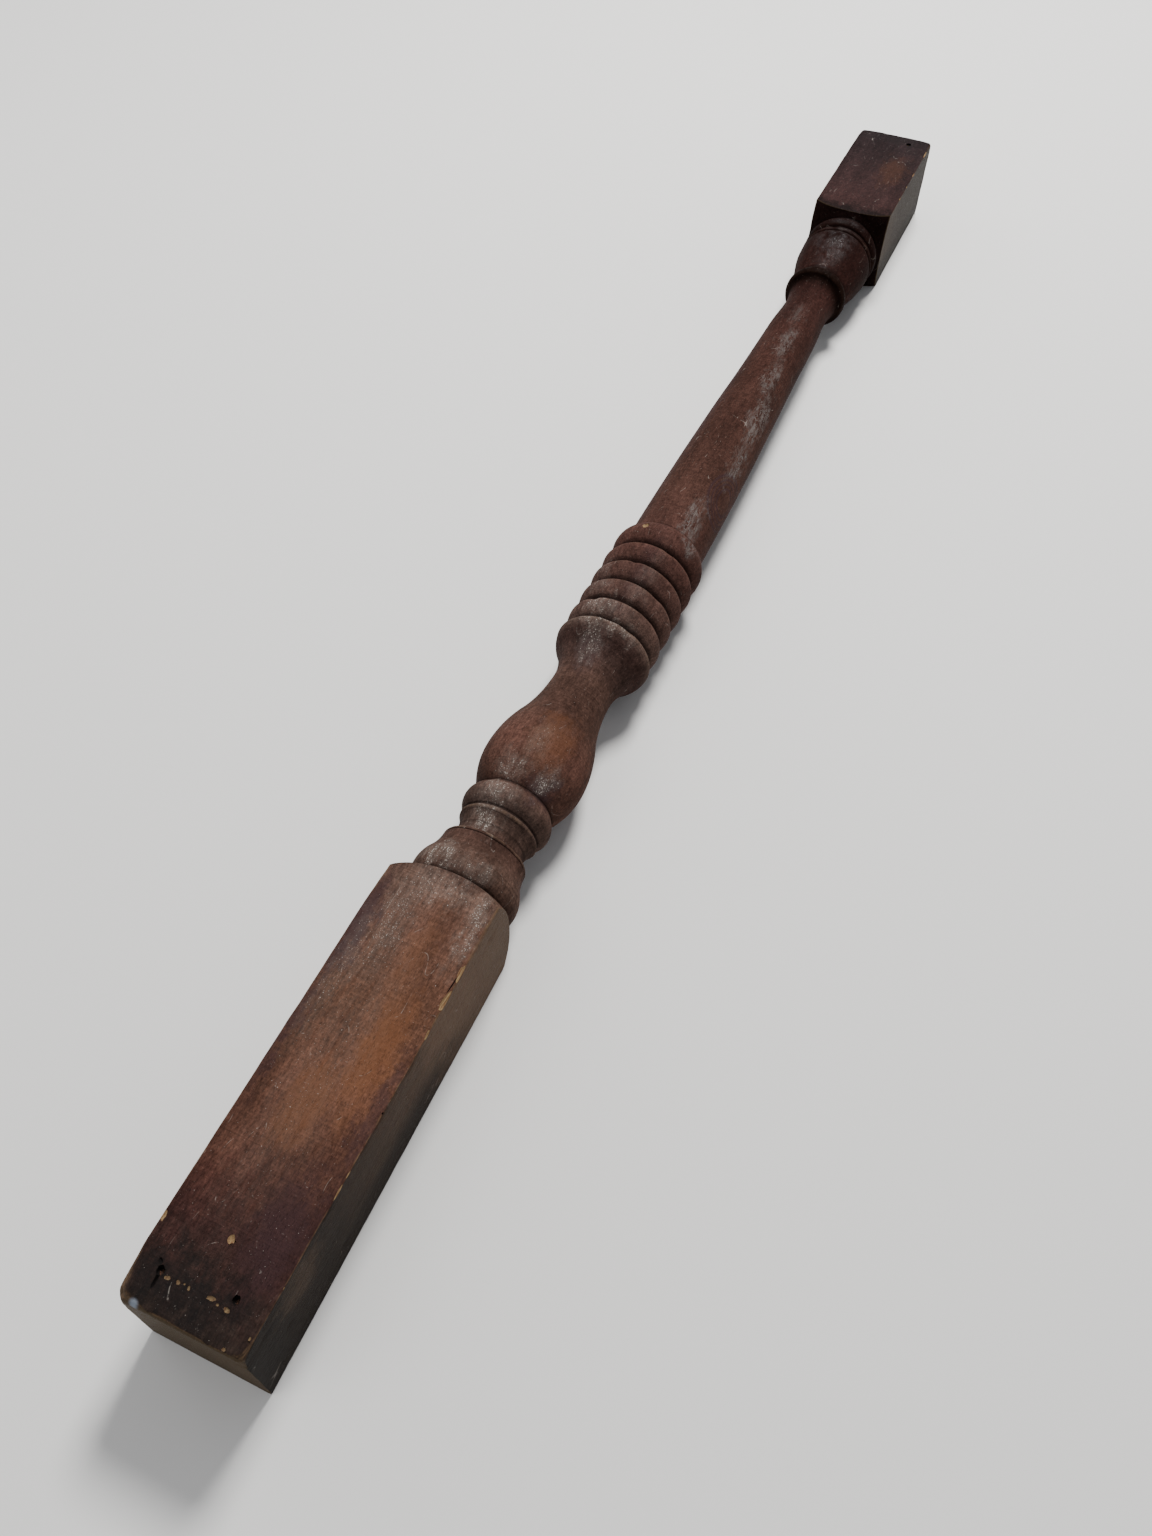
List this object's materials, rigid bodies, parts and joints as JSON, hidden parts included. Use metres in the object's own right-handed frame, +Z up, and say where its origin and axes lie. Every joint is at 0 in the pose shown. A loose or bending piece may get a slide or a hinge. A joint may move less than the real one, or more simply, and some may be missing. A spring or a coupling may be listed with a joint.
{
  "type": "turned wooden baluster",
  "caption": "Reclaimed mahogany-stained turned wooden baluster for a stair or porch rail, square blocks at both ends, lying on one side, with broken nails in its blocks.",
  "frame": {"origin": "middle of the resting side, on the surface that the baluster lies on", "axes": "+X along the baluster from its long foot block to its short head block, +Z up out of the resting side"},
  "size_m": [0.969, 0.057, 0.057],
  "materials": {
    "stained_timber": "worn mahogany stain with dust in the grain",
    "nail_iron": "rusted"
  },
  "bodies": {
    "root": {"baluster": "stained_timber", "foot_nail_left": "nail_iron", "foot_nail_right": "nail_iron", "head_nail": "nail_iron"}
  },
  "joints": []
}
